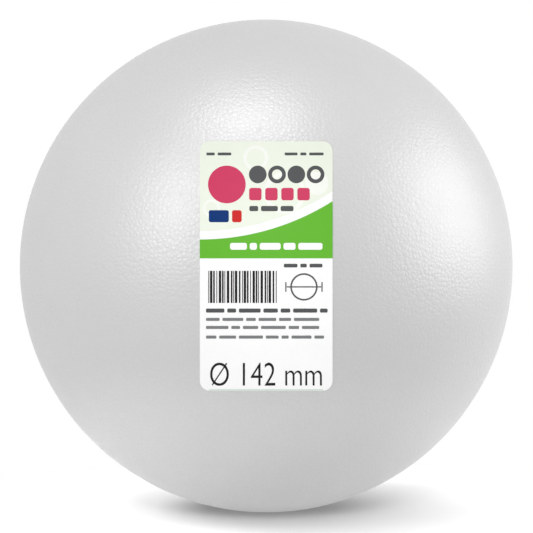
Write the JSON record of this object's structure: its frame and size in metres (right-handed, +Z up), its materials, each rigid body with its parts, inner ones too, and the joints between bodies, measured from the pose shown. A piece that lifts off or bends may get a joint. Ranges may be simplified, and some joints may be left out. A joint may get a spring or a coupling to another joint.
{
  "type": "polystyrene craft ball",
  "caption": "Smooth solid ball of moulded white expanded polystyrene with a rounded rectangular printed paper label stuck on its front.",
  "frame": {"origin": "centre of the ball", "axes": "+Z up through the top of the ball, -Y out through the middle of the label, X across the label"},
  "size_m": [0.142, 0.1424, 0.142],
  "materials": {
    "foam": "white expanded polystyrene with a smooth, softly shining moulded skin of fused beads",
    "label_paper": "coated white paper printed with pale green and green fields, satin"
  },
  "bodies": {
    "root": {"ball": "foam", "label": "label_paper"}
  },
  "joints": []
}
